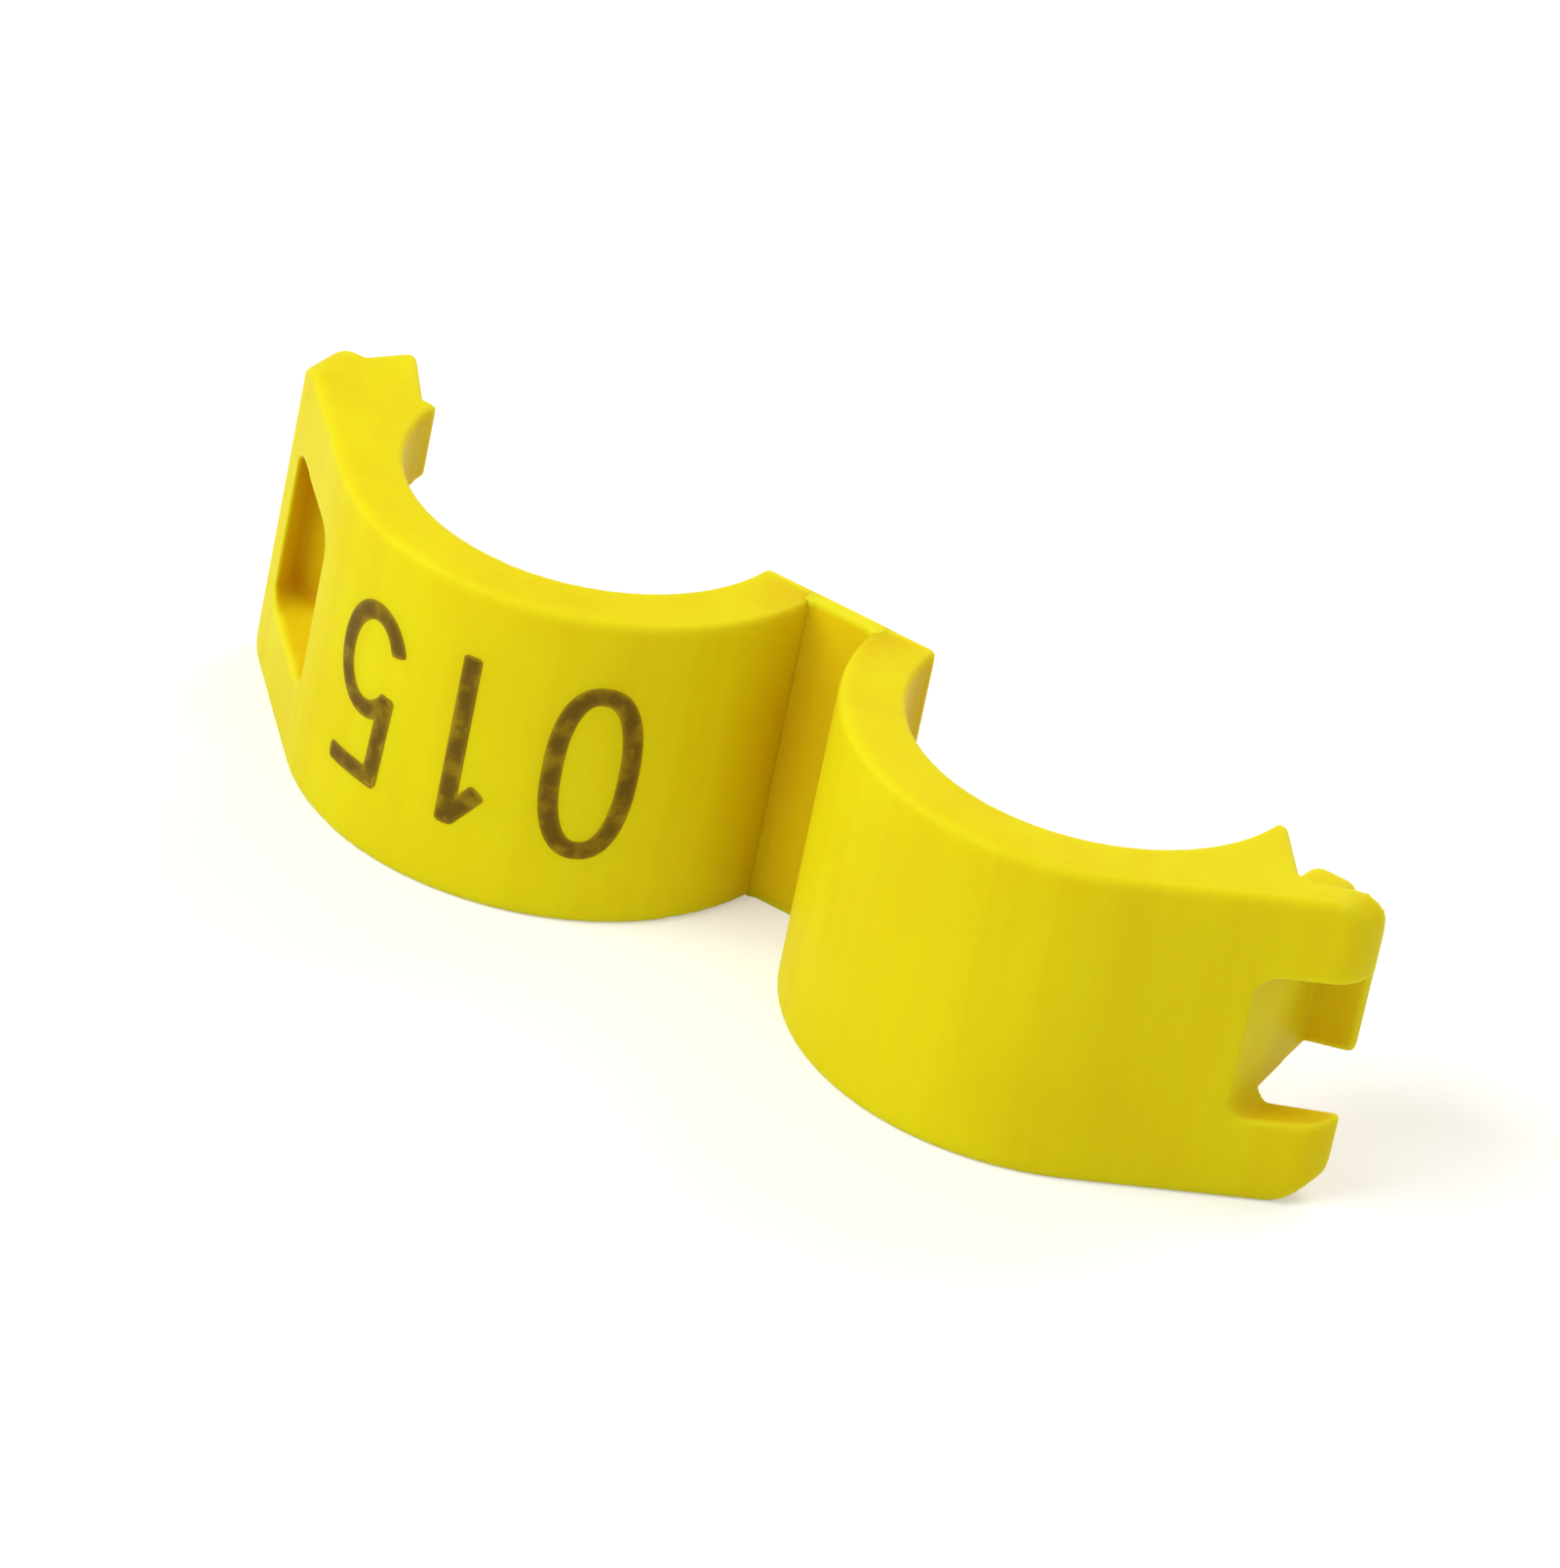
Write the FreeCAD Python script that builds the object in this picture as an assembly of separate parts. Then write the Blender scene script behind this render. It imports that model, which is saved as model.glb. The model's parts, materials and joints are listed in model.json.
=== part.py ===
import FreeCAD, Part
import math
import os

# The ring is one moulding, drawn open as it leaves the mould: two half bands side by side along X,
# with their hollows open to +Y, joined by a thin web that folds. All sizes are in millimetres.
# Each half is drawn in its own side view first: u runs outward from the bore to the clasp, v up past
# the plane in which the halves meet, and z across the band.

# The band
bore_radius = 4.0
wall = 1.35
band_width = 7.0
rim_radius = 0.15

# The folding web between the halves
web_gap = 1.4
web_thickness = 0.35
split_clearance = 0.05

# The clasp: the outer wall flares into a thicker end, which carries the catch
clasp_depth = 3.0
clasp_side_height = 0.85
clasp_back_radius = 1.0
clasp_edge_radius = 0.08
clasp_corner_radius = 0.8
fit_clearance = 0.1

# The slot end: a pointed tooth at each edge of the band, and a lower bar between them
tooth_height = 1.25
tooth_crest = 0.2
tooth_inner_foot = 0.35
tooth_outer_foot = 2.1
bar_rise = 0.4
skin_thickness = 0.35
slot_corner_radius = 0.4

# The hook end: prongs at the edges of the band, and a notch between them
prong_width = 1.85
notch_corner_radius = 0.4

# The springy tongue of the hook end, with the lobe that snaps under the bar
tongue_width = 3.4
tongue_root_thickness = 1.45
tongue_neck_thickness = 1.25
tongue_height = 2.3
tongue_edge_radius = 0.3
tongue_corner_radius = 0.6
lobe_width = 2.6
lobe_reach = 0.95
lobe_underside_height = 0.52
lobe_underside_rise = 0.42
lobe_nose_height = 0.2
lobe_bulge = 0.22

# Sizes that follow from those above
outer_radius = bore_radius + wall
pitch = 2 * outer_radius + web_gap
half_width = band_width / 2
clasp_reach = bore_radius + clasp_depth
clasp_middle = bore_radius + clasp_depth / 2
groove_depth = tooth_height + fit_clearance
bar_face = bore_radius + tongue_root_thickness
bar_bottom = -(lobe_underside_height - fit_clearance)
slot_inner_face = bore_radius - fit_clearance
slot_half_width = tongue_width / 2 + fit_clearance
skin_top = -math.sqrt(bore_radius ** 2 - (slot_inner_face - skin_thickness) ** 2)
room_inner_face = bore_radius + clasp_depth / 4
room_outer_face = bore_radius + tongue_neck_thickness + lobe_reach + fit_clearance
well_outside = 2 * clasp_reach


def point(u, v, z=0.0):
    return FreeCAD.Vector(u, v, z)


def line(start, end):
    return Part.LineSegment(start, end).toShape()


def arc(start, middle, end):
    return Part.Arc(start, middle, end).toShape()


def chain(points):
    """Straight edges through the points in order."""
    return [line(points[i], points[i + 1]) for i in range(len(points) - 1)]


def block(u_low, u_high, v_low, v_high, half_depth):
    """A box that spans -half_depth to half_depth across the band."""
    return Part.makeBox(u_high - u_low, v_high - v_low, 2 * half_depth, point(u_low, v_low, -half_depth))


def solid_from_side(edges, half_depth):
    """The side view given by the edges, as a solid that spans -half_depth to half_depth across the band."""
    face = Part.Face(Part.Wire(edges))
    face.translate(FreeCAD.Vector(0, 0, -half_depth))
    return face.extrude(FreeCAD.Vector(0, 0, 2 * half_depth))


def edges_along(shape, axis):
    """The straight edges that run along one axis, given as 0, 1 or 2."""
    found = []
    for edge in shape.Edges:
        start, end = edge.Vertexes[0].Point, edge.Vertexes[-1].Point
        moved = [abs(end[i] - start[i]) > 1e-6 for i in range(3)]
        if moved[axis] and sum(moved) == 1:
            found.append(edge)
    return found


def outer_wall_touch(corner):
    """Where a straight line from the corner touches the outside of the band."""
    distance = math.hypot(corner.x, corner.y)
    angle = math.atan2(corner.y, corner.x) - math.acos(outer_radius / distance)
    return point(outer_radius * math.cos(angle), outer_radius * math.sin(angle))


def end_of_bore(side):
    """Where the bore meets the plane in which a half stops, at the web (-1) or at the clasp (1)."""
    return point(side * math.sqrt(bore_radius ** 2 - split_clearance ** 2), -split_clearance)


def half_band(end_points):
    """A half band from the web's end round to a clasp end, whose top runs through end_points.

    The outer side of the clasp stands upright below its top corner, and its back rounds into a straight
    stretch that runs down to the outside of the band and meets it tangentially.
    """
    outer_start = point(-math.sqrt(outer_radius ** 2 - split_clearance ** 2), -split_clearance)
    outer_corner = end_points[-1]
    side_foot = point(outer_corner.x, outer_corner.y - clasp_side_height)
    touch = outer_wall_touch(side_foot)
    edges = [arc(end_of_bore(-1), point(0, -bore_radius), end_points[0])]
    edges += chain(end_points + [side_foot, touch])
    edges.append(arc(touch, point(0, -outer_radius), outer_start))
    edges.append(line(outer_start, end_of_bore(-1)))
    shape = solid_from_side(edges, half_width)
    shape = shape.makeFillet(clasp_back_radius, edges_at(shape, [side_foot]))
    shape = shape.makeFillet(clasp_edge_radius, edges_at(shape, sharp_corners(end_points)))
    return soften_rims(shape)


def sharp_corners(end_points):
    """The points of a clasp end's top at which material juts out."""
    found = []
    for before, corner, after in zip(end_points, end_points[1:], end_points[2:]):
        turn = (corner - before).cross(after - corner).z
        if turn < 0:
            found.append(corner)
    return found + [end_points[-1]]


def edges_at(shape, corners):
    """The edges across the band that pass through the given points of the side view."""
    found = []
    for edge in edges_along(shape, 2):
        middle = edge.CenterOfMass
        if any(math.hypot(middle.x - corner.x, middle.y - corner.y) < 1e-6 for corner in corners):
            found.append(edge)
    return found


def soften_rims(shape):
    """Round the edges on the two flat sides of a half, apart from those that the web joins."""
    rims = []
    for edge in shape.Edges:
        middle = edge.CenterOfMass
        on_flat_side = abs(abs(middle.z) - half_width) < 1e-6
        at_web = middle.x < -bore_radius and middle.y > -2 * split_clearance
        if on_flat_side and not at_web:
            rims.append(edge)
    return shape.makeFillet(rim_radius, rims)


def round_clasp_corners(shape):
    """Round the two outer corners of a clasp end, as seen from above the split."""
    outline = block(-well_outside, clasp_reach, -well_outside, well_outside, half_width)
    corners = [edge for edge in edges_along(outline, 1) if edge.CenterOfMass.x > 0]
    return shape.common(outline.makeFillet(clasp_corner_radius, corners))


def make_slot_end_half():
    """The numbered half: the tongue goes down its slot, and the lobe snaps under its bar.

    The slot and the room for the lobe come out on the outside as one window, inside the bar's outer edge.
    """
    end_points = [
        end_of_bore(1),
        point(bore_radius + tooth_inner_foot, -split_clearance),
        point(clasp_middle - tooth_crest / 2, tooth_height),
        point(clasp_middle + tooth_crest / 2, tooth_height),
        point(bore_radius + tooth_outer_foot, bar_rise),
        point(clasp_reach, bar_rise),
    ]
    shape = round_clasp_corners(half_band(end_points))
    above_bar = block(0, well_outside, bar_rise, well_outside, slot_half_width)
    slot = block(slot_inner_face, bar_face, -outer_radius, well_outside, slot_half_width)
    slot = slot.makeFillet(slot_corner_radius, edges_along(slot, 1))
    open_to_bore = block(0, slot_inner_face + slot_corner_radius, skin_top, well_outside, slot_half_width)
    lobe_room = block(room_inner_face, room_outer_face, -outer_radius, bar_bottom, slot_half_width)
    outer_corners = [edge for edge in edges_along(lobe_room, 1) if edge.CenterOfMass.x > bar_face]
    lobe_room = lobe_room.makeFillet(slot_corner_radius, outer_corners)
    return shape.cut(above_bar.multiFuse([slot, open_to_bore, lobe_room]))


def tongue_section(low, high):
    """The tapered stem of the tongue between two heights, with square edges."""
    taper = (tongue_root_thickness - tongue_neck_thickness) / (groove_depth + lobe_underside_height)
    low_face = bore_radius + tongue_root_thickness - taper * (low + groove_depth)
    high_face = bore_radius + tongue_root_thickness - taper * (high + groove_depth)
    edges = chain([point(bore_radius, low), point(low_face, low), point(high_face, high),
                   point(bore_radius, high), point(bore_radius, low)])
    return solid_from_side(edges, tongue_width / 2)


def soften_tongue(shape):
    """Round the edges of the tongue's inner and outer faces, apart from those at its foot."""
    edges = []
    for edge in shape.Edges:
        rises = edge.BoundBox.YLength > 1e-6
        at_top = edge.CenterOfMass.y > tongue_height - 1e-6
        runs_through = edge.BoundBox.XLength > tongue_neck_thickness / 2
        if (rises or at_top) and not runs_through:
            edges.append(edge)
    return shape.makeFillet(tongue_edge_radius, edges)


def make_hook_end_half():
    """The plain half: grooves in its end take the teeth, and its prongs close over the bar's ends.

    The notch between the prongs goes right through the wall, in line with the tongue's outer face.
    """
    groove_inner = point(bore_radius + tooth_inner_foot - fit_clearance, -split_clearance)
    prong_tip = -(bar_rise + fit_clearance)
    end_points = [
        end_of_bore(1),
        groove_inner,
        point(clasp_middle - tooth_crest / 2 - fit_clearance, -groove_depth),
        point(clasp_middle + tooth_crest / 2 + fit_clearance, -groove_depth),
        point(clasp_reach, prong_tip),
    ]
    shape = round_clasp_corners(half_band(end_points))
    notch = block(bar_face, well_outside, -well_outside, well_outside, half_width - prong_width)
    inner_corners = [edge for edge in edges_along(notch, 1) if edge.CenterOfMass.x < clasp_reach]
    notch = notch.makeFillet(notch_corner_radius, inner_corners)
    root = soften_tongue(tongue_section(-groove_depth, -split_clearance))
    return shape.cut(notch).fuse(root).removeSplitter()


def make_tongue():
    """The springy tongue above the hook end's root, with a lobe narrower than itself."""
    stem = tongue_section(-split_clearance, tongue_height)
    corners = [edge for edge in edges_along(stem, 0) if edge.CenterOfMass.y > 0]
    stem = soften_tongue(stem.makeFillet(tongue_corner_radius, corners))

    neck_face = bore_radius + tongue_neck_thickness
    nose = neck_face + lobe_reach
    nose_low = lobe_underside_height + lobe_underside_rise
    nose_high = nose_low + lobe_nose_height
    crown = point(bore_radius + tongue_neck_thickness / 2, tongue_height)
    bulge = point((crown.x + nose) / 2 + lobe_bulge, (crown.y + nose_high) / 2 + lobe_bulge)
    outline = chain([crown, point(crown.x, lobe_underside_height), point(neck_face, lobe_underside_height),
                     point(nose, nose_low), point(nose, nose_high)])
    outline.append(arc(point(nose, nose_high), bulge, crown))
    lobe = solid_from_side(outline, lobe_width / 2)
    return stem.fuse(lobe).removeSplitter()


def make_web():
    """The folding web, which ends on the outside of both halves, flush with their ends."""
    web = Part.makeBox(pitch, web_thickness, band_width,
                       point(0, -split_clearance - web_thickness, -half_width))
    for centre in (0, pitch):
        band = Part.makeCylinder(outer_radius, 2 * band_width, point(centre, 0, -band_width))
        web = web.cut(band)
    return web


def save(name, shape):
    """Write one piece, as a single solid where it is one."""
    solid = shape.Solids[0] if len(shape.Solids) == 1 else shape
    print(name, len(shape.Solids), "solid", round(shape.Volume, 3), "mm3", shape.isValid())
    solid.exportStep("parts/" + name + ".step")


os.makedirs("parts", exist_ok=True)
to_hook_half = FreeCAD.Vector(pitch, 0, 0)
slot_end_half = make_slot_end_half().mirror(FreeCAD.Vector(0, 0, 0), FreeCAD.Vector(1, 0, 0))
save("numbered_half", slot_end_half)
save("hook_half", make_hook_end_half().translated(to_hook_half))
save("latch_tongue", make_tongue().translated(to_hook_half))
save("folding_web", make_web())
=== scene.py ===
import bpy
import bmesh
import json
import math
import numpy as np
from mathutils import Matrix, Vector


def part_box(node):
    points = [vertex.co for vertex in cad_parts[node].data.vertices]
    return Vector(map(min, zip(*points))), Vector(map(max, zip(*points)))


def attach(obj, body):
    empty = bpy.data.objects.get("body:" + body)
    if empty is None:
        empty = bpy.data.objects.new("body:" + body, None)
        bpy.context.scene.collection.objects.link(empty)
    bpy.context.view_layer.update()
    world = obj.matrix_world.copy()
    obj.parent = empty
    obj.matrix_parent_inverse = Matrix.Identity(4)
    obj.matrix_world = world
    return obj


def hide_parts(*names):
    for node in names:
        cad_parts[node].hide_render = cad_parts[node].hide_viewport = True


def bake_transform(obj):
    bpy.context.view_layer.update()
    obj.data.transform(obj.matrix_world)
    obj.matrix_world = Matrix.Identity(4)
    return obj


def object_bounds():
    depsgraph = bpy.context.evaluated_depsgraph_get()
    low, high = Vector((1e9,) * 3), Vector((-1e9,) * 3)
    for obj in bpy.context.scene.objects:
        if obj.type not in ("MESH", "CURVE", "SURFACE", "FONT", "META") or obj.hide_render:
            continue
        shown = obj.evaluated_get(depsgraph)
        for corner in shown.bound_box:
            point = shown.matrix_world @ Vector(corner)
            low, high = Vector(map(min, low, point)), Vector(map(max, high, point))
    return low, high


# A clip-on leg ring for birds, lying open as it leaves the mould: two half bands on a thin web,
# standing on their edges, with the snap catch at both ends and a plain number on one half.

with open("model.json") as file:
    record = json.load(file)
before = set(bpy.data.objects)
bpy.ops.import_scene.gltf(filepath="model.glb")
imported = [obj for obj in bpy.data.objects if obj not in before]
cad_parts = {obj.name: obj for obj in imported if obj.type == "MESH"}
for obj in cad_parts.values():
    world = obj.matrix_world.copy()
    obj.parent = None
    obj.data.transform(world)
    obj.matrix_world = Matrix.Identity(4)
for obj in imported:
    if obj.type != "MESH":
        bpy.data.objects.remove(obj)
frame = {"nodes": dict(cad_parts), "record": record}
cadLow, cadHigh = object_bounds()
mm = 0.001

# Sizes that the CAD frame gives
mounts = {mount["name"]: mount for mount in frame["record"]["mounts"]}
boreRadius = mounts["leg_bore"]["dims"]["r_mm"] * mm
hookCentreX = mounts["leg_bore_hook_side"]["pos_m"][0]
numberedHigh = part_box("numbered_half")[1]
webLow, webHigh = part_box("folding_web")
webMiddle = (webLow + webHigh) / 2
webHalfLength = (webHigh.x - webLow.x) / 2
outerRadius = numberedHigh.x
halfWidth = numberedHigh.z
print("frame loaded: bore radius", round(boreRadius / mm, 2), "mm, outer radius", round(outerRadius / mm, 2))


# Helpers for meshes
def newMesh(name, points, faces, smooth=True):
    mesh = bpy.data.meshes.new(name)
    mesh.from_pydata(points.reshape(-1, 3).tolist(), [], faces.tolist())
    mesh.polygons.foreach_set("use_smooth", np.full(len(mesh.polygons), smooth))
    mesh.update()
    piece = bpy.data.objects.new(name, mesh)
    bpy.context.scene.collection.objects.link(piece)
    return piece


def gridFaces(rows, columns, closedRows=False, closedColumns=False):
    # one quad for each cell of a grid of points that is numbered row by row
    rowCount = rows if closedRows else rows - 1
    columnCount = columns if closedColumns else columns - 1
    row, column = np.meshgrid(np.arange(rowCount), np.arange(columnCount), indexing="ij")
    nextRow = (row + 1) % rows
    nextColumn = (column + 1) % columns
    quads = np.stack([row * columns + column, row * columns + nextColumn,
                      nextRow * columns + nextColumn, nextRow * columns + column], axis=-1)
    return quads.reshape(-1, 4)


def closeEnds(mesh):
    # fills the open ends of a tube and turns every face outwards
    work = bmesh.new()
    work.from_mesh(mesh)
    bmesh.ops.holes_fill(work, edges=work.edges)
    bmesh.ops.recalc_face_normals(work, faces=work.faces)
    work.to_mesh(mesh)
    work.free()


def readTable(items, attribute, width, kind=np.float64):
    # one attribute of all vertices, normals or edges of a mesh, with a row for each
    table = np.empty(len(items) * width, dtype=kind)
    items.foreach_get(attribute, table)
    return table.reshape(-1, width)


def storeMask(mesh, name, mask):
    # a share from 0 to 1 at each vertex, which a material reads by its name
    layer = mesh.attributes.new(name, "FLOAT", "POINT")
    layer.data.foreach_set("value", mask.ravel())


def smoothStep(field):
    # from 0 to 1 with a level start and end: three squares less two cubes
    held = np.clip(field, 0.0, 1.0)
    return held * held * (3.0 - 2.0 * held)


# Helpers for materials
white = (1.0, 1.0, 1.0, 1.0)


def newMaterial(name):
    material = bpy.data.materials.new(name)
    material.use_nodes = True
    return material, material.node_tree, material.node_tree.nodes["Principled BSDF"]


def setSockets(node, sockets):
    for name, value in sockets.items():
        node.inputs[name].default_value = value


def link(tree, source, target):
    tree.links.new(source, target)


def makeNoise(tree, vector, scale, detail):
    noise = tree.nodes.new("ShaderNodeTexNoise")
    setSockets(noise, {"Scale": scale, "Detail": detail})
    link(tree, vector, noise.inputs["Vector"])
    return noise.outputs["Fac"]


def makeRange(tree, source, fromRange, toRange):
    mapped = tree.nodes.new("ShaderNodeMapRange")
    setSockets(mapped, {"From Min": fromRange[0], "From Max": fromRange[1],
                        "To Min": toRange[0], "To Max": toRange[1]})
    link(tree, source, mapped.inputs["Value"])
    return mapped.outputs["Result"]


def makeMix(tree, factor, first, second):
    # a mix of two colours, each fixed or another node's output; the Mix node has them as inputs 6 and 7
    mix = tree.nodes.new("ShaderNodeMix")
    mix.data_type = "RGBA"
    link(tree, factor, mix.inputs["Factor"])
    for socket, source in ((mix.inputs[6], first), (mix.inputs[7], second)):
        if isinstance(source, tuple):
            socket.default_value = source
        else:
            link(tree, source, socket)
    return mix.outputs[2]


def makeMath(tree, operation, first, second):
    # the second is a number or another node's output
    node = tree.nodes.new("ShaderNodeMath")
    node.operation = operation
    link(tree, first, node.inputs[0])
    if isinstance(second, float):
        node.inputs[1].default_value = second
    else:
        link(tree, second, node.inputs[1])
    return node.outputs["Value"]


def makeSum(tree, *sources, clamped=False):
    total = sources[0]
    for source in sources[1:]:
        total = makeMath(tree, "ADD", total, source)
    total.node.use_clamp = clamped
    return total


def readMask(tree, name, share):
    # one of the masks that are worked out on the mesh, times its share
    mask = tree.nodes.new("ShaderNodeAttribute")
    mask.attribute_name = name
    return makeMath(tree, "MULTIPLY", mask.outputs["Fac"], share)


# The plastic, a satin yellow moulding that lets a little light in
plastic = {
    "colour": (0.800, 0.718, 0.006, 1.0),
    # the deeper colour, for the random cloud and flow streaks and for painted shade
    "toneAndShadeColour": (0.640, 0.355, 0.001, 1.0),
    # the paler colour of the painted rim highlight
    "highlightColour": (0.865, 0.800, 0.022, 1.0),
    "markColour": (0.400, 0.290, 0.006, 1.0),
    "roughness": (0.44, 0.56),
    "specular": 0.05,
    "subsurface": 0.30,
    "subsurfaceScale": 1.4 * mm,
    "subsurfaceRadius": (1.0, 0.45, 0.04),
    "grainScale": 6500.0,
    "grainDetail": 2.0,
    "cloudScale": 260.0,
    "cloudDetail": 3.0,
    "cloudRange": (0.35, 0.70),
    "cloudShare": 0.16,
    "satinRange": (0.30, 0.70),
    "streakScale": 1500.0,
    "streakDetail": 2.0,
    "streakStretch": 0.07,
    "streakRange": (0.40, 0.70),
    "streakShare": 0.10,
    "bumpHeight": 0.012 * mm,
    "bumpStrength": 0.35,
    # shares of the painted rim highlight, of the painted shade in creases and in the hollow, and of the
    # painted occlusion shade with its reach and samples
    "rimHighlightShare": 0.70,
    "creaseShadeShare": 0.45,
    "hollowShadeShare": 0.28,
    "shadeShare": 1.00,
    "shadeReach": 4.0 * mm,
    "shadeSamples": 6,
    "markShare": 0.85,
}


def makeMouldGroup(values):
    # the look of a satin moulding: cloudy colour, faint flow streaks across the band, fine grain, a painted
    # highlight on the rims, and painted shade, a deeper colour in creases, in hollows and where the mesh
    # shades itself
    group = bpy.data.node_groups.new("mouldedSurface", "ShaderNodeTree")
    for name, kind in (("Colour", "Color"), ("Tone And Shade", "Color"), ("Highlight", "Color"), ("Mark Colour", "Color"),
                       ("Rim Highlight", "Float"), ("Painted Shade", "Float"), ("Mark", "Float")):
        group.interface.new_socket(name, in_out="INPUT", socket_type="NodeSocket" + kind)
    for name, kind in (("Colour", "Color"), ("Roughness", "Float"), ("Height", "Float")):
        group.interface.new_socket(name, in_out="OUTPUT", socket_type="NodeSocket" + kind)
    start = group.nodes.new("NodeGroupInput")
    end = group.nodes.new("NodeGroupOutput")
    place = group.nodes.new("ShaderNodeTexCoord")
    stretch = group.nodes.new("ShaderNodeMapping")
    stretch.inputs["Scale"].default_value = (1.0, 1.0, values["streakStretch"])
    link(group, place.outputs["Object"], stretch.inputs["Vector"])
    cloud = makeNoise(group, place.outputs["Object"], values["cloudScale"], values["cloudDetail"])
    streak = makeNoise(group, stretch.outputs["Vector"], values["streakScale"], values["streakDetail"])
    grain = makeNoise(group, place.outputs["Object"], values["grainScale"], values["grainDetail"])

    cloudMask = makeRange(group, cloud, values["cloudRange"], (0.0, values["cloudShare"]))
    streakMask = makeRange(group, streak, values["streakRange"], (0.0, values["streakShare"]))
    # random cloud and streak tone plus painted shade, which turn the colour deeper
    toneAndShade = makeSum(group, cloudMask, streakMask, start.outputs["Painted Shade"], clamped=True)
    tonedAndShaded = makeMix(group, toneAndShade, start.outputs["Colour"], start.outputs["Tone And Shade"])
    highlighted = makeMix(group, start.outputs["Rim Highlight"], tonedAndShaded, start.outputs["Highlight"])
    marked = makeMix(group, start.outputs["Mark"], highlighted, start.outputs["Mark Colour"])
    link(group, marked, end.inputs["Colour"])
    link(group, makeRange(group, cloud, values["satinRange"], values["roughness"]), end.inputs["Roughness"])
    link(group, grain, end.inputs["Height"])
    return group


def makePlastic(name, group, values):
    material, tree, shader = newMaterial(name)
    surface = tree.nodes.new("ShaderNodeGroup")
    surface.node_tree = group
    setSockets(surface, {"Colour": values["colour"], "Tone And Shade": values["toneAndShadeColour"],
                         "Highlight": values["highlightColour"], "Mark Colour": values["markColour"]})
    # painted shade: a deeper colour where the mesh shades itself, from an ambient occlusion node on the
    # object alone
    openness = tree.nodes.new("ShaderNodeAmbientOcclusion")
    openness.only_local = True
    openness.samples = values["shadeSamples"]
    openness.inputs["Distance"].default_value = values["shadeReach"]
    shade = makeRange(tree, openness.outputs["AO"], (1.0, 0.0), (0.0, values["shadeShare"]))
    # painted shade in creases and in the hollow, from masks worked out on the mesh
    creaseShade = readMask(tree, "creaseShade", values["creaseShadeShare"])
    hollow = readMask(tree, "hollow", values["hollowShadeShare"])
    link(tree, makeSum(tree, shade, creaseShade, hollow), surface.inputs["Painted Shade"])
    # painted highlight on the rims
    link(tree, readMask(tree, "rimHighlight", values["rimHighlightShare"]), surface.inputs["Rim Highlight"])
    link(tree, readMask(tree, "mark", values["markShare"]), surface.inputs["Mark"])
    bump = tree.nodes.new("ShaderNodeBump")
    setSockets(bump, {"Distance": values["bumpHeight"], "Strength": values["bumpStrength"]})
    link(tree, surface.outputs["Colour"], shader.inputs["Base Color"])
    link(tree, surface.outputs["Roughness"], shader.inputs["Roughness"])
    link(tree, surface.outputs["Height"], bump.inputs["Height"])
    link(tree, bump.outputs["Normal"], shader.inputs["Normal"])
    setSockets(shader, {"Subsurface Weight": values["subsurface"],
                        "Subsurface Radius": values["subsurfaceRadius"],
                        "Subsurface Scale": values["subsurfaceScale"],
                        "Specular IOR Level": values["specular"]})
    return material


ringPlastic = makePlastic("satinYellowPlastic", makeMouldGroup(plastic), plastic)

# The ink of the number, thin at the edges of its strokes and worn in spots
ink = {
    "colour": (0.140, 0.080, 0.003, 1.0),
    "thin": (0.370, 0.250, 0.004, 1.0),
    "roughness": 0.50,
    "specular": 0.10,
    "speckleScale": 2600.0,
    "speckleDetail": 4.0,
    "speckleRange": (0.46, 0.70),
    "wear": 0.60,
    "edge": 0.85,
}


def makeInk(values):
    material, tree, shader = newMaterial("numberInk")
    place = tree.nodes.new("ShaderNodeTexCoord")
    speckle = makeNoise(tree, place.outputs["Object"], values["speckleScale"], values["speckleDetail"])
    worn = makeRange(tree, speckle, values["speckleRange"], (0.0, values["wear"]))
    thin = makeSum(tree, worn, readMask(tree, "inkEdge", values["edge"]), clamped=True)
    link(tree, makeMix(tree, thin, values["colour"], values["thin"]), shader.inputs["Base Color"])
    setSockets(shader, {"Roughness": values["roughness"], "Specular IOR Level": values["specular"]})
    return material


numberInk = makeInk(ink)
print("materials made")

# The number, printed on the convex side of the numbered half: plain narrow digits of one stroke width
number = {
    "digits": "015",
    "height": 4.0 * mm,
    "width": 1.95 * mm,
    "pitch": 2.58 * mm,
    "stroke": 0.41 * mm,
    "proud": 0.010 * mm,
    "shift": 0.95 * mm,
    "alongSteps": 96,
    "aroundSteps": 16,
    "softEnd": 0.10 * mm,
    "edgeSharpness": 4,
    "markSteps": 20,
}
zeroRoundness = 0.84
fiveBowl = {"middle": (-0.03, -0.195), "radii": (0.50, 0.305), "startAngle": 147.0, "turn": 305.0}


def loopOfZero(s):
    # a tall rounded loop, a little squarer than an ellipse
    angle = 2.0 * np.pi * s
    across = 0.5 * np.sign(np.cos(angle)) * np.abs(np.cos(angle)) ** zeroRoundness
    up = 0.5 * np.sign(np.sin(angle)) * np.abs(np.sin(angle)) ** zeroRoundness
    return across, up


def straightRun(first, last):
    # from one place to another in a straight line
    def path(s):
        return first[0] + (last[0] - first[0]) * s, first[1] + (last[1] - first[1]) * s

    return path


def bowlOfFive(s):
    # most of an ellipse, from the foot of the short upright round to the lower left
    angle = np.radians(fiveBowl["startAngle"] - fiveBowl["turn"] * s)
    across = fiveBowl["middle"][0] + fiveBowl["radii"][0] * np.cos(angle)
    up = fiveBowl["middle"][1] + fiveBowl["radii"][1] * np.sin(angle)
    return across, up


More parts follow.
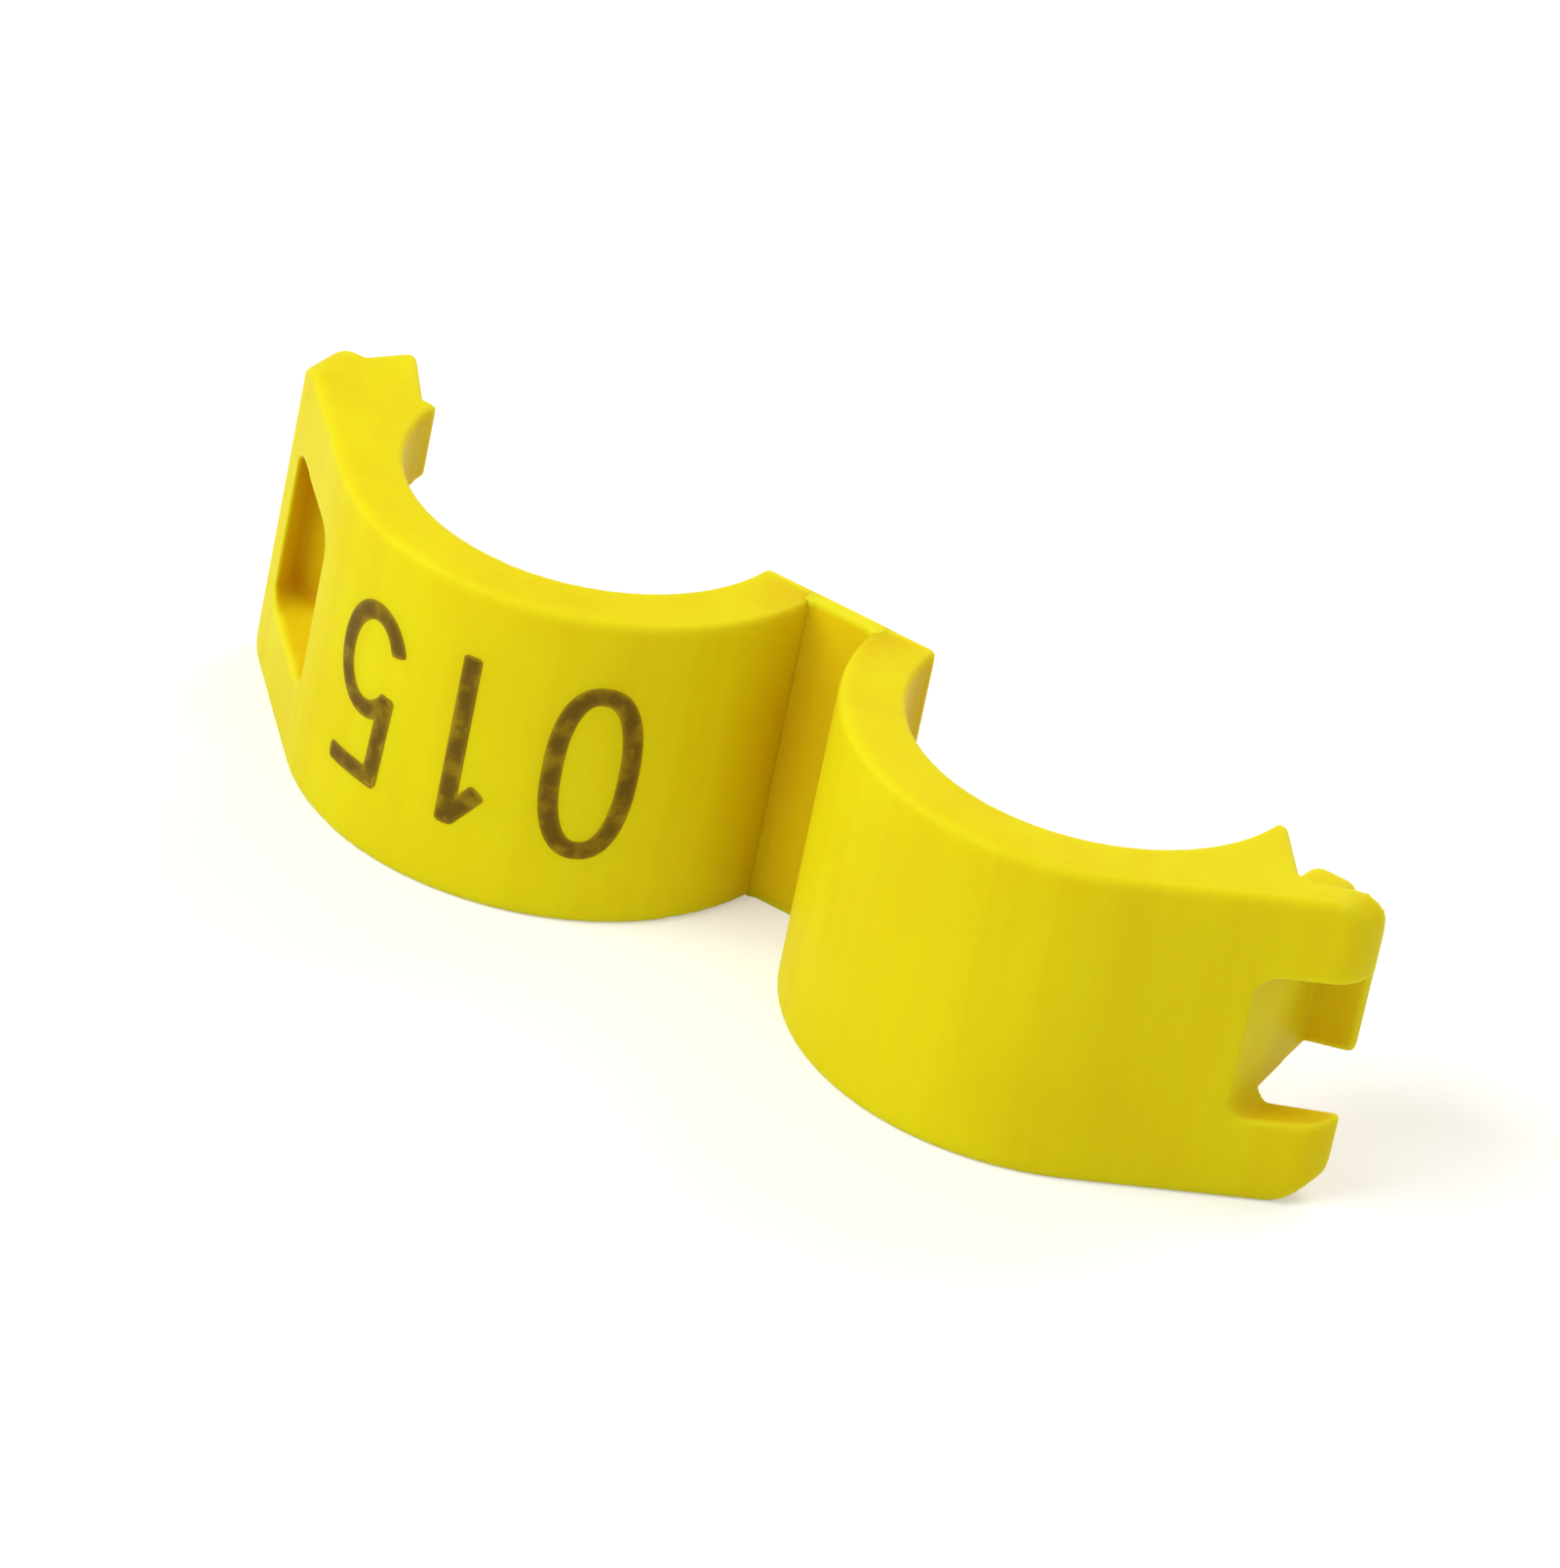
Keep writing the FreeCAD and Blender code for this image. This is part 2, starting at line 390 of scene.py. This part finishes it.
# Each digit's strokes, in a box one wide and one high about its middle, and whether they are closed loops
digitStrokes = {
    "0": [(loopOfZero, True)],
    "1": [(straightRun((-0.30, 0.27), (0.10, 0.50)), False),
          (straightRun((0.10, 0.53), (0.10, -0.55)), False)],
    "5": [(straightRun((0.46, 0.50), (-0.47, 0.50)), False),
          (straightRun((-0.36, 0.54), (-0.42, -0.04)), False),
          (bowlOfFive, False)],
}


def numberStrokes(values):
    # each stroke's name and path, whether it is closed, and where its digit stands along the band
    strokes = []
    middleDigit = (len(values["digits"]) - 1) / 2
    for index, digit in enumerate(values["digits"]):
        place = (index - middleDigit) * values["pitch"] - values["shift"]
        for strokeIndex, (path, closed) in enumerate(digitStrokes[digit]):
            strokes.append((f"numberDigit{index + 1}Stroke{strokeIndex + 1}", path, closed, place))
    return strokes


def strokeLine(path, closed, steps, values):
    # the middle line of a stroke, in the flat of the print; an open one has closer points towards its ends
    u = np.linspace(0.0, 1.0, steps, endpoint=not closed)
    s = u if closed else 0.5 - 0.5 * np.cos(np.pi * u)
    across, up = path(s)
    width = values["width"] - values["stroke"]
    height = values["height"] - values["stroke"]
    return np.stack([across * width, up * height], axis=-1)


def makeStroke(name, path, closed, place, values):
    # a ribbon with a flattened ellipse as its section, carried along the path on the band's outer cylinder
    along = strokeLine(path, closed, values["alongSteps"], values)
    if closed:
        step = np.roll(along, -1, axis=0) - np.roll(along, 1, axis=0)
    else:
        step = np.gradient(along, axis=0)
    step /= np.linalg.norm(step, axis=1, keepdims=True)
    side = np.stack([-step[:, 1], step[:, 0]], axis=-1)
    halfStroke = np.full(len(along), values["stroke"] / 2)
    fromEnd = np.ones(len(along))
    if not closed:
        # the ribbon narrows in a quarter circle over its last short stretch
        runs = np.concatenate([[0.0], np.cumsum(np.linalg.norm(np.diff(along, axis=0), axis=1))])
        fromEnd = np.clip(np.minimum(runs, runs[-1] - runs) / values["softEnd"], 0.0, 1.0)
        halfStroke -= values["softEnd"] * (1.0 - np.sqrt(1.0 - (1.0 - fromEnd) ** 2))
    t = np.linspace(0.0, 2.0 * np.pi, values["aroundSteps"], endpoint=False)
    flat = along[:, None, :] + side[:, None, :] * (halfStroke[:, None] * np.cos(t)[None, :])[..., None]
    height = values["proud"] * np.sin(t)[None, :] * np.ones((len(along), 1))
    # the number reads from the web to the clasp, with its feet towards the top edge of the band
    arc = -(place + flat[..., 0]) / outerRadius
    radius = outerRadius + height
    points = np.stack([radius * np.sin(arc), -radius * np.cos(arc), -flat[..., 1]], axis=-1)
    piece = newMesh(name, points, gridFaces(len(along), len(t), closedRows=closed, closedColumns=True))
    fromMiddle = np.abs(np.cos(t))[None, :] ** values["edgeSharpness"]
    storeMask(piece.data, "inkEdge", np.maximum(fromMiddle, (1.0 - fromEnd)[:, None]))
    closeEnds(piece.data)
    piece.data.materials.append(numberInk)
    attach(piece, "numbered_half")


def inkPlaces(values):
    # points along every stroke, as angle round the band and height across it
    lines = []
    for name, path, closed, place in numberStrokes(values):
        line = strokeLine(path, closed, values["markSteps"], values)
        lines.append(np.stack([-(place + line[:, 0]) / outerRadius, -line[:, 1]], axis=-1))
    return np.concatenate(lines)


# The two halves as they leave the mould, with every edge a little rounded
moulding = {
    "weld": 0.002 * mm,
    "lattice": 0.062 * mm,
    "relaxSteps": 4,
    "relaxFactor": 0.5,
    "tongueFoot": 0.15 * mm,
    # reach of the painted rim highlight and of the painted crease shade, from how the surface bends
    "rimHighlightGain": 0.60 * mm,
    "creaseShadeGain": 0.45 * mm,
    "flatShare": 0.1,
    "maskSteps": 3,
    "inkBlur": 0.82 * mm,
    "hollowEdge": 0.15 * mm,
    # painted shade in the valley where the band meets the web, and where the rim highlight stops short of it
    "valleyReach": 1.6 * mm,
    "valleyShare": 0.9,
    "rootClear": 0.45 * mm,
}


def weldedCopy(nodeName, values):
    copy = bmesh.new()
    copy.from_mesh(frame["nodes"][nodeName].data)
    bmesh.ops.remove_doubles(copy, verts=copy.verts, dist=values["weld"])
    if nodeName == "latch_tongue":
        # the tongue's foot reaches into the half that carries it, so that they become one skin
        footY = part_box(nodeName)[0].y
        for vertex in copy.verts:
            if vertex.co.y < footY + values["weld"]:
                vertex.co.y -= values["tongueFoot"]
    mesh = bpy.data.meshes.new(nodeName + "Welded")
    copy.to_mesh(mesh)
    copy.free()
    return mesh


def makeSkin(name, nodeNames, values):
    # one skin of small even quads over the nodes, relaxed so that the edges soften
    joined = bmesh.new()
    for nodeName in nodeNames:
        joined.from_mesh(weldedCopy(nodeName, values))
    rough = bpy.data.meshes.new(name + "Rough")
    joined.to_mesh(rough)
    joined.free()
    piece = bpy.data.objects.new(name, rough)
    bpy.context.scene.collection.objects.link(piece)
    skin = piece.modifiers.new("skin", "REMESH")
    skin.mode = "VOXEL"
    skin.voxel_size = values["lattice"]
    relax = piece.modifiers.new("relax", "SMOOTH")
    relax.factor = values["relaxFactor"]
    relax.iterations = values["relaxSteps"]
    finished = bpy.data.meshes.new_from_object(piece.evaluated_get(bpy.context.evaluated_depsgraph_get()))
    finished.name = name
    finished.polygons.foreach_set("use_smooth", np.full(len(finished.polygons), True))
    finished.update()
    piece.modifiers.clear()
    piece.data = finished
    return piece


def neighbourMean(edges, field):
    # for each vertex, the mean of a field over the vertices that share an edge with it
    count = len(field)
    ends = np.concatenate([edges[:, 0], edges[:, 1]])
    others = np.concatenate([edges[:, 1], edges[:, 0]])
    valence = np.bincount(ends, minlength=count)
    columns = []
    for axis in range(field.shape[1]):
        columns.append(np.bincount(ends, weights=field[others, axis], minlength=count))
    return np.stack(columns, axis=-1) / np.maximum(valence, 1)[:, None]


def bendingOf(mesh, points, values):
    # how far a vertex lies below (+) or above (-) its neighbours' mean, over the lattice step squared,
    # spread over a few steps
    normals = readTable(mesh.vertex_normals, "vector", 3)
    edges = readTable(mesh.edges, "vertices", 2, np.int64)
    bending = np.sum((neighbourMean(edges, points) - points) * normals, axis=1, keepdims=True)
    bending /= values["lattice"] ** 2
    for _ in range(values["maskSteps"]):
        bending = neighbourMean(edges, bending)
    return bending[:, 0]


def inkThroughWall(points, places, values):
    # how much ink stands behind each point of the hollow: a sum of bell curves, one for each printed place
    angle = np.arctan2(points[:, 0], -points[:, 1])
    along = (angle[:, None] - places[None, :, 0]) * boreRadius
    up = points[:, 2][:, None] - places[None, :, 1]
    shade = np.exp(-(along ** 2 + up ** 2) / (2.0 * values["inkBlur"] ** 2)).sum(axis=1)
    return shade / shade.max()


def makeMoulding(name, nodeNames, body, centreX, places, values):
    piece = makeSkin(name, nodeNames, values)
    points = readTable(piece.data.vertices, "co", 3)
    bending = bendingOf(piece.data, points, values)
    # painted highlight: a paler colour on convex rims, from how the surface bends
    rimHighlight = smoothStep(-bending * values["rimHighlightGain"] - values["flatShare"])
    # painted shade: a deeper colour in concave creases, from how the surface bends
    creaseShade = smoothStep(bending * values["creaseShadeGain"] - values["flatShare"])

    # painted shade in the corner where the band meets the web, which sees little light; the painted rim
    # highlight runs out there into the web
    fromWeb = np.hypot(points[:, 0] - webMiddle.x, points[:, 1] - webMiddle.y) - webHalfLength
    valley = smoothStep(1.0 - fromWeb / values["valleyReach"]) * (points[:, 1] < webMiddle.y)
    creaseShade = np.maximum(creaseShade, values["valleyShare"] * valley)
    rimHighlight *= 1.0 - smoothStep(1.0 - fromWeb / values["rootClear"])

    # the hollow's own mask, for painted shade there, and the number's ink that shows through the wall there
    radius = np.hypot(points[:, 0] - centreX, points[:, 1])
    hollow = smoothStep((boreRadius + values["hollowEdge"] - radius) / values["hollowEdge"])
    mark = np.zeros(len(points))
    if places is not None:
        mark = inkThroughWall(points, places, values) * hollow
    for maskName, mask in (("rimHighlight", rimHighlight), ("creaseShade", creaseShade), ("hollow", hollow), ("mark", mark)):
        storeMask(piece.data, maskName, mask)
    piece.data.materials.clear()
    piece.data.materials.append(ringPlastic)
    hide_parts(*nodeNames)
    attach(piece, body)
    print(name, "made with", len(piece.data.polygons), "faces")


makeMoulding("numberedHalfMoulding", ["numbered_half"], "numbered_half", 0.0, inkPlaces(number), moulding)
makeMoulding("hookHalfMoulding", ["hook_half", "latch_tongue"], "hook_half", hookCentreX, None, moulding)

# The folding web, a thin strip from one half to the other
web = {
    "acrossSteps": 60,
    "aroundSteps": 96,
    "cornerPower": 0.12,
    "rootReach": 0.55 * mm,
    "proud": 0.005 * mm,
    "sunkDepth": 0.010 * mm,
    "fillet": 0.07 * mm,
    "filletReach": 0.16 * mm,
    "rimHighlightWidth": 0.16 * mm,
    # the share of painted shade on the strip's underside
    "faceShade": 0.55,
}


def makeWeb(values):
    # a rounded rectangle, wide across the band and thin, carried from one half to the other;
    # its underside thickens a little in a fillet at each half, and its ends sink slowly into their walls,
    # so that one flat face runs from half to half
    reach = values["rootReach"]
    x = np.linspace(webLow.x - reach, webHigh.x + reach, values["acrossSteps"] + 1)
    t = np.linspace(0.0, 2.0 * np.pi, values["aroundSteps"], endpoint=False)
    sharpZ = np.sign(np.cos(t)) * np.abs(np.cos(t)) ** values["cornerPower"]
    sharpY = np.sign(np.sin(t)) * np.abs(np.sin(t)) ** values["cornerPower"]
    halfThickness = (webHigh.y - webLow.y) / 2
    fromHalf = np.minimum(x - webLow.x, webHigh.x - x)
    sunk = smoothStep(-fromHalf / reach)
    fillet = values["fillet"] * (1.0 - np.clip(fromHalf / values["filletReach"], 0.0, 1.0)) ** 2
    grown = values["proud"] - values["sunkDepth"] * sunk
    under = (fillet * (1.0 - sunk))[:, None] * (sharpY < 0.0)[None, :]
    points = np.empty((len(x), len(t), 3))
    points[..., 0] = x[:, None]
    points[..., 1] = webMiddle.y + (halfThickness + grown)[:, None] * sharpY[None, :] - under
    points[..., 2] = (halfWidth - values["sunkDepth"] * sunk)[:, None] * sharpZ[None, :]
    piece = newMesh("webStrip", points, gridFaces(len(x), len(t), closedColumns=True))
    # painted highlight along the strip's edges across the band
    rimHighlight = smoothStep(1.0 - (halfWidth - np.abs(points[..., 2])) / values["rimHighlightWidth"])
    storeMask(piece.data, "rimHighlight", rimHighlight)
    # painted shade on the strip's underside, in the valley between the halves
    storeMask(piece.data, "creaseShade", values["faceShade"] * (sharpY < 0.0)[None, :] * (1.0 - rimHighlight))
    closeEnds(piece.data)
    piece.data.materials.append(ringPlastic)
    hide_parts("folding_web")
    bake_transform(piece)


makeWeb(web)
print("web made")

for name, path, closed, place in numberStrokes(number):
    makeStroke(name, path, closed, place, number)
print("number printed with", len(numberStrokes(number)), "strokes")


# Floor, light and camera
def seenDirectly(tree):
    # 1 for what the camera sees, straight, mirrored or through something, and 0 for light falling on things
    rays = tree.nodes.new("ShaderNodeLightPath")
    seen = rays.outputs["Is Camera Ray"]
    for name in ("Is Glossy Ray", "Is Transmission Ray"):
        seen = makeMath(tree, "MAXIMUM", seen, rays.outputs[name])
    return seen


floorValues = {
    "colour": (0.780, 0.805, 0.850, 1.0),
    "size": 1.2,
    "glow": 0.34,
    "roughness": 0.9,
    "specular": 0.0,
}


def makeFloor(values):
    half = values["size"] / 2
    corners = np.array([(-half, -half, cadLow.z), (half, -half, cadLow.z), (half, half, cadLow.z),
                        (-half, half, cadLow.z)])
    floor = newMesh("floor", corners, np.array([[0, 1, 2, 3]]), smooth=False)
    material, tree, shader = newMaterial("paleFloor")
    setSockets(shader, {"Base Color": values["colour"], "Roughness": values["roughness"],
                        "Specular IOR Level": values["specular"], "Emission Color": white})
    glow = makeMath(tree, "MULTIPLY", seenDirectly(tree), values["glow"])
    link(tree, glow, shader.inputs["Emission Strength"])
    floor.data.materials.append(material)


makeFloor(floorValues)

centre = (cadLow + cadHigh) / 2
lights = {
    "key": {"from": (-0.080, -0.110, 0.120), "size": 0.15, "power": 0.242, "tint": (1.0, 1.0, 1.0)},
    "fill": {"from": (0.120, -0.080, 0.060), "size": 0.12, "power": 0.030, "tint": (1.0, 0.92, 0.80)},
    "back": {"from": (0.020, 0.120, 0.100), "size": 0.12, "power": 0.120, "tint": (1.0, 0.92, 0.80)},
}
worldLight = {"strength": 0.37, "tint": (1.0, 0.925, 0.82, 1.0)}


def aim(thing, target, roll=0.0):
    turned = (target - thing.location).to_track_quat("-Z", "Y").to_matrix() @ Matrix.Rotation(roll, 3, "Z")
    thing.rotation_euler = turned.to_euler()


def makeLamp(name, values):
    lampData = bpy.data.lights.new(name, "AREA")
    lampData.shape = "DISK"
    lampData.size = values["size"]
    lampData.energy = values["power"]
    lampData.color = values["tint"]
    lamp = bpy.data.objects.new(name, lampData)
    bpy.context.scene.collection.objects.link(lamp)
    lamp.location = Vector(values["from"])
    aim(lamp, centre)


def makeWorld(values):
    # soft and barely warm on the object, and full white where it is seen
    world = bpy.data.worlds.new("paleStudio")
    bpy.context.scene.world = world
    world.use_nodes = True
    tree = world.node_tree
    background = tree.nodes["Background"]
    seen = seenDirectly(tree)
    link(tree, makeMix(tree, seen, values["tint"], white), background.inputs["Color"])
    link(tree, makeRange(tree, seen, (0.0, 1.0), (values["strength"], 1.0)), background.inputs["Strength"])


for name, values in lights.items():
    makeLamp(name, values)
makeWorld(worldLight)

view = {
    "azimuth": 27.0,
    "elevation": 31.0,
    "roll": 12.0,
    "lens": 290.0,
    "distance": 0.250,
    "nearest": 1.0 * mm,
}


def makeCamera(values):
    turn = math.radians(values["azimuth"])
    rise = math.radians(values["elevation"])
    outward = Vector((math.sin(turn) * math.cos(rise), -math.cos(turn) * math.cos(rise), math.sin(rise)))
    camera = bpy.data.objects.new("camera", bpy.data.cameras.new("camera"))
    bpy.context.scene.collection.objects.link(camera)
    camera.data.lens = values["lens"]
    camera.data.clip_start = values["nearest"]
    camera.location = centre + outward * values["distance"]
    aim(camera, centre, math.radians(values["roll"]))
    bpy.context.scene.camera = camera


makeCamera(view)
bpy.context.scene.view_settings.view_transform = "Standard"
print("floor, light and camera made")
